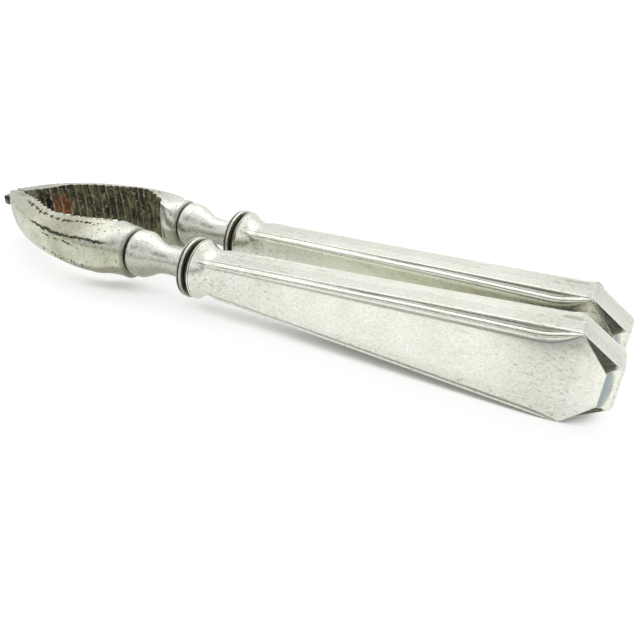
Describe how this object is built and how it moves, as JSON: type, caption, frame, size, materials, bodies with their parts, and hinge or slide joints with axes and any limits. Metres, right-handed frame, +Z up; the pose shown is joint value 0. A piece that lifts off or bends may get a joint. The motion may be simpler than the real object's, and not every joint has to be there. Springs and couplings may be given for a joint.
{
  "type": "lever nutcracker",
  "caption": "Table nutcracker: toothed forged jaws turn on a riveted nose link, with tapered, moulded hollow metal handles that end in cut corners.",
  "frame": {"origin": "centre of the length and width, at the lowest corners of the handle ends, with the arms' middle plane level", "axes": "+X from the hinge to the handle ends, +Y from the front arm to the rear arm, +Z up, along the hinge rivets"},
  "size_m": [0.1732, 0.0394, 0.0212],
  "materials": {
    "bare_steel": "dark bare steel, worn and stained",
    "plated_steel": "worn silver plate over forged steel, rusted between the teeth",
    "silver": "old polished silver with fine scratches",
    "pitch": "dark brown filling, matt"
  },
  "bodies": {
    "hinge": {"hinge_link": "bare_steel", "front_hinge_rivet": "bare_steel", "rear_hinge_rivet": "bare_steel"},
    "front_arm": {"front_jaw_arm": "plated_steel", "front_handle_ferrule": "silver", "front_handle_outer_shell": "silver", "front_handle_inner_shell": "silver", "front_handle_pitch": "pitch"},
    "rear_arm": {"rear_jaw_arm": "plated_steel", "rear_handle_ferrule": "silver", "rear_handle_outer_shell": "silver", "rear_handle_inner_shell": "silver", "rear_handle_pitch": "pitch"}
  },
  "joints": [
    {"name": "front_arm_hinge", "type": "hinge", "parent": "hinge", "child": "front_arm", "pos_m": [-0.08396, -0.00175, 0.0106], "axis": [0, 0, -1], "range_deg": [0, 90]},
    {"name": "rear_arm_hinge", "type": "hinge", "parent": "hinge", "child": "rear_arm", "pos_m": [-0.08396, 0.00175, 0.0106], "axis": [0, 0, 1], "range_deg": [0, 90]}
  ]
}
